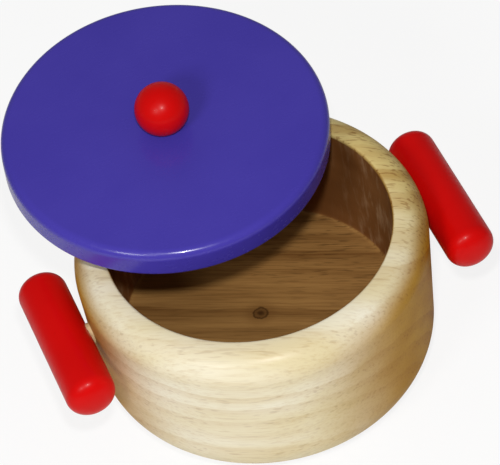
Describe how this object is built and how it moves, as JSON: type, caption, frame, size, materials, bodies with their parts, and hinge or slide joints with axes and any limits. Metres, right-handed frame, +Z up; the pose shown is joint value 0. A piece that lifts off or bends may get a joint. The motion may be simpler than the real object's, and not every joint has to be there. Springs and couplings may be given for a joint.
{
  "type": "toy soup pot",
  "caption": "Round turned wooden toy pot with side rod handles and a flat lid with a ball knob that lifts off",
  "frame": {"origin": "centre of the flat foot under the pot", "axes": "Z up along the pot's turning axis, X through both handles towards the right one, Y towards the side where the lid lies"},
  "size_m": [0.1664, 0.1679, 0.1076],
  "materials": {
    "pale_wood": "clear gloss lacquer over pale wood",
    "raw_wood": "smooth bare wood",
    "red_paint": "gloss red paint over wood",
    "blue_paint": "gloss violet-blue paint over wood"
  },
  "bodies": {
    "pot": {"pot_body": "pale_wood", "handle_rod_left": "red_paint", "handle_rod_right": "red_paint", "handle_peg_left": "raw_wood", "handle_peg_right": "raw_wood"},
    "lid": {"lid_disc": "blue_paint", "lid_plug": "raw_wood", "lid_knob": "red_paint", "knob_dowel": "raw_wood"}
  },
  "joints": [
    {"name": "lid_lift", "type": "slide", "parent": "pot", "child": "lid", "axis": [0, 0, 1], "range_m": [0, 0.1]}
  ]
}
